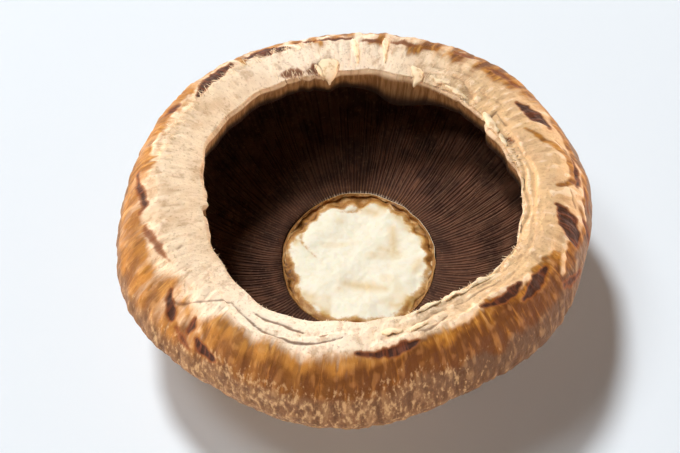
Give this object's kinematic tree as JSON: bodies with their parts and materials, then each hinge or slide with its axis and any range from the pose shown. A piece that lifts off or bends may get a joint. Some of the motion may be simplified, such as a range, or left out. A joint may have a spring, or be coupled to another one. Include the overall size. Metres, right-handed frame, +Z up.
{
  "type": "portobello mushroom",
  "caption": "Portobello mushroom cap with its stem snapped off, lying gill side up: domed flesh, inrolled torn margin, radial gills and a white stem scar.",
  "frame": {"origin": "middle of the cap's box seen from above, on the surface that the crown rests on", "axes": "+Z up, out of the open gill side; the margin's deepest tear lies towards +Y"},
  "size_m": [0.104, 0.1046, 0.0382],
  "materials": {
    "skin": "satin",
    "gill_tissue": "matte",
    "flesh": "matte"
  },
  "bodies": {
    "root": {"cap": "skin", "gills": "gill_tissue", "stem_stub": "flesh"}
  },
  "joints": []
}
